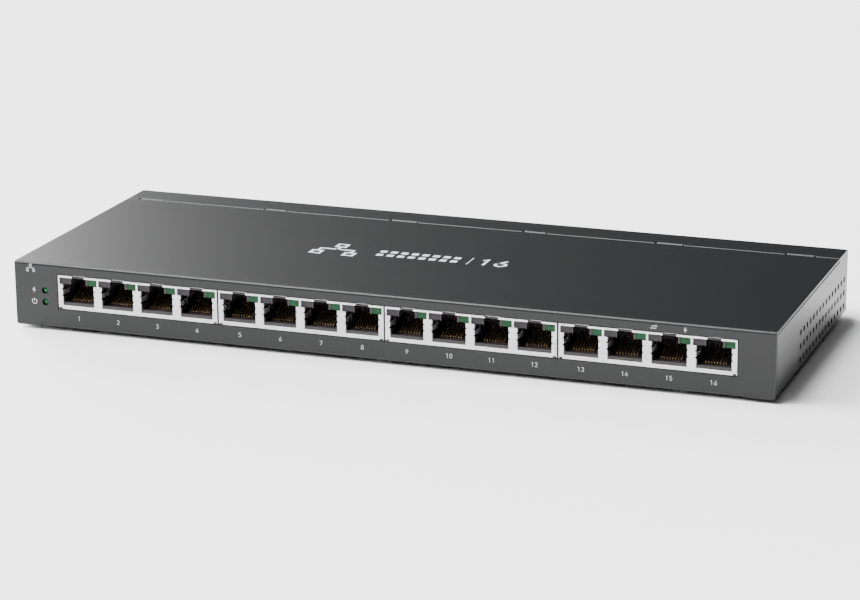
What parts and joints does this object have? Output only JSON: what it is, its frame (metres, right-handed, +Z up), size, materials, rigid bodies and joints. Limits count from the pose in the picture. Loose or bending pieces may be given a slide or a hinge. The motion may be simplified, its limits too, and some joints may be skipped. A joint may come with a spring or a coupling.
{
  "type": "desktop network switch",
  "caption": "Low flat steel desktop network switch with one front row of shielded modular sockets, lamps beside each latch, vented sides and a rear power inlet.",
  "frame": {"origin": "centre of the footprint on the plane the feet stand on", "axes": "+X to the right seen from the front, +Y from the socket face towards the rear, +Z up"},
  "size_m": [0.286, 0.1116, 0.0254],
  "materials": {
    "case_paint": "fine satin powder coat",
    "tinned_steel": "bright nickel plate",
    "socket_plastic": "moulded, matte",
    "gold_wire": "gold plated spring wire",
    "grey_lamp": "clear grey diffuser",
    "green_lamp": "green diffuser",
    "foot_rubber": "matte",
    "laminate": "solder mask",
    "screw_steel": "zinc plated",
    "post_steel": "plated",
    "film_sheet": "thin film",
    "chip_mould": "moulding compound",
    "heat_aluminium": "black anodised",
    "thermal_rubber": "soft pad",
    "can_aluminium": "bright can",
    "crystal_steel": "plated can",
    "ferrite": "pressed powder core",
    "ceramic_part": "fired ceramic"
  },
  "bodies": {
    "case": {"front_cover": "case_paint", "base_chassis": "case_paint", "foot_front_left": "foot_rubber", "foot_front_right": "foot_rubber", "foot_rear_left": "foot_rubber", "foot_rear_right": "foot_rubber", "cover_screws": "screw_steel", "board_screws": "screw_steel", "earth_screw": "screw_steel", "earth_washer": "screw_steel", "board_standoffs": "post_steel", "insulator_film": "film_sheet", "main_board": "laminate", "jack_housing_1": "socket_plastic", "jack_shield_1": "tinned_steel", "jack_housing_2": "socket_plastic", "jack_shield_2": "tinned_steel", "jack_housing_3": "socket_plastic", "jack_shield_3": "tinned_steel", "jack_housing_4": "socket_plastic", "jack_shield_4": "tinned_steel", "contact_tails": "gold_wire", "left_lamps": "grey_lamp", "right_lamps": "green_lamp", "status_lamps": "green_lamp", "status_lamp_holder": "socket_plastic", "inlet_body": "socket_plastic", "inlet_pin": "tinned_steel", "inlet_terminals": "tinned_steel", "switch_chip": "chip_mould", "power_controllers": "chip_mould", "transformer_modules": "chip_mould", "memory_chip": "chip_mould", "small_resistors": "chip_mould", "thermal_pad": "thermal_rubber", "heat_sink": "heat_aluminium", "inductors": "ferrite", "bulk_capacitors": "can_aluminium", "crystal": "crystal_steel", "small_capacitors": "ceramic_part"},
    "port_contacts_01_spring": {"port_contacts_01": "gold_wire"},
    "port_contacts_02_spring": {"port_contacts_02": "gold_wire"},
    "port_contacts_03_spring": {"port_contacts_03": "gold_wire"},
    "port_contacts_04_spring": {"port_contacts_04": "gold_wire"},
    "port_contacts_05_spring": {"port_contacts_05": "gold_wire"},
    "port_contacts_06_spring": {"port_contacts_06": "gold_wire"},
    "port_contacts_07_spring": {"port_contacts_07": "gold_wire"},
    "port_contacts_08_spring": {"port_contacts_08": "gold_wire"},
    "port_contacts_09_spring": {"port_contacts_09": "gold_wire"},
    "port_contacts_10_spring": {"port_contacts_10": "gold_wire"},
    "port_contacts_11_spring": {"port_contacts_11": "gold_wire"},
    "port_contacts_12_spring": {"port_contacts_12": "gold_wire"},
    "port_contacts_13_spring": {"port_contacts_13": "gold_wire"},
    "port_contacts_14_spring": {"port_contacts_14": "gold_wire"},
    "port_contacts_15_spring": {"port_contacts_15": "gold_wire"},
    "port_contacts_16_spring": {"port_contacts_16": "gold_wire"},
    "inlet_leaf_spring": {"inlet_leaf": "tinned_steel"}
  },
  "joints": [
    {"name": "port_01_contact_spring", "type": "hinge", "parent": "case", "child": "port_contacts_01_spring", "pos_m": [-0.1174, -0.05255, 0.0117], "axis": [1, 0, 0], "range_deg": [-10, 0], "stiffness_Nm_per_rad": 0.2},
    {"name": "port_02_contact_spring", "type": "hinge", "parent": "case", "child": "port_contacts_02_spring", "pos_m": [-0.1017, -0.05255, 0.0117], "axis": [1, 0, 0], "range_deg": [-10, 0], "stiffness_Nm_per_rad": 0.2},
    {"name": "port_03_contact_spring", "type": "hinge", "parent": "case", "child": "port_contacts_03_spring", "pos_m": [-0.086, -0.05255, 0.0117], "axis": [1, 0, 0], "range_deg": [-10, 0], "stiffness_Nm_per_rad": 0.2},
    {"name": "port_04_contact_spring", "type": "hinge", "parent": "case", "child": "port_contacts_04_spring", "pos_m": [-0.0703, -0.05255, 0.0117], "axis": [1, 0, 0], "range_deg": [-10, 0], "stiffness_Nm_per_rad": 0.2},
    {"name": "port_05_contact_spring", "type": "hinge", "parent": "case", "child": "port_contacts_05_spring", "pos_m": [-0.0535, -0.05255, 0.0117], "axis": [1, 0, 0], "range_deg": [-10, 0], "stiffness_Nm_per_rad": 0.2},
    {"name": "port_06_contact_spring", "type": "hinge", "parent": "case", "child": "port_contacts_06_spring", "pos_m": [-0.0378, -0.05255, 0.0117], "axis": [1, 0, 0], "range_deg": [-10, 0], "stiffness_Nm_per_rad": 0.2},
    {"name": "port_07_contact_spring", "type": "hinge", "parent": "case", "child": "port_contacts_07_spring", "pos_m": [-0.0221, -0.05255, 0.0117], "axis": [1, 0, 0], "range_deg": [-10, 0], "stiffness_Nm_per_rad": 0.2},
    {"name": "port_08_contact_spring", "type": "hinge", "parent": "case", "child": "port_contacts_08_spring", "pos_m": [-0.0064, -0.05255, 0.0117], "axis": [1, 0, 0], "range_deg": [-10, 0], "stiffness_Nm_per_rad": 0.2},
    {"name": "port_09_contact_spring", "type": "hinge", "parent": "case", "child": "port_contacts_09_spring", "pos_m": [0.0104, -0.05255, 0.0117], "axis": [1, 0, 0], "range_deg": [-10, 0], "stiffness_Nm_per_rad": 0.2},
    {"name": "port_10_contact_spring", "type": "hinge", "parent": "case", "child": "port_contacts_10_spring", "pos_m": [0.0261, -0.05255, 0.0117], "axis": [1, 0, 0], "range_deg": [-10, 0], "stiffness_Nm_per_rad": 0.2},
    {"name": "port_11_contact_spring", "type": "hinge", "parent": "case", "child": "port_contacts_11_spring", "pos_m": [0.0418, -0.05255, 0.0117], "axis": [1, 0, 0], "range_deg": [-10, 0], "stiffness_Nm_per_rad": 0.2},
    {"name": "port_12_contact_spring", "type": "hinge", "parent": "case", "child": "port_contacts_12_spring", "pos_m": [0.0575, -0.05255, 0.0117], "axis": [1, 0, 0], "range_deg": [-10, 0], "stiffness_Nm_per_rad": 0.2},
    {"name": "port_13_contact_spring", "type": "hinge", "parent": "case", "child": "port_contacts_13_spring", "pos_m": [0.0743, -0.05255, 0.0117], "axis": [1, 0, 0], "range_deg": [-10, 0], "stiffness_Nm_per_rad": 0.2},
    {"name": "port_14_contact_spring", "type": "hinge", "parent": "case", "child": "port_contacts_14_spring", "pos_m": [0.09, -0.05255, 0.0117], "axis": [1, 0, 0], "range_deg": [-10, 0], "stiffness_Nm_per_rad": 0.2},
    {"name": "port_15_contact_spring", "type": "hinge", "parent": "case", "child": "port_contacts_15_spring", "pos_m": [0.1057, -0.05255, 0.0117], "axis": [1, 0, 0], "range_deg": [-10, 0], "stiffness_Nm_per_rad": 0.2},
    {"name": "port_16_contact_spring", "type": "hinge", "parent": "case", "child": "port_contacts_16_spring", "pos_m": [0.1214, -0.05255, 0.0117], "axis": [1, 0, 0], "range_deg": [-10, 0], "stiffness_Nm_per_rad": 0.2},
    {"name": "inlet_leaf_spring", "type": "hinge", "parent": "case", "child": "inlet_leaf_spring", "pos_m": [-0.108, 0.04415, 0.01025], "axis": [1, 0, 0], "range_deg": [-5, 0], "stiffness_Nm_per_rad": 0.05}
  ]
}
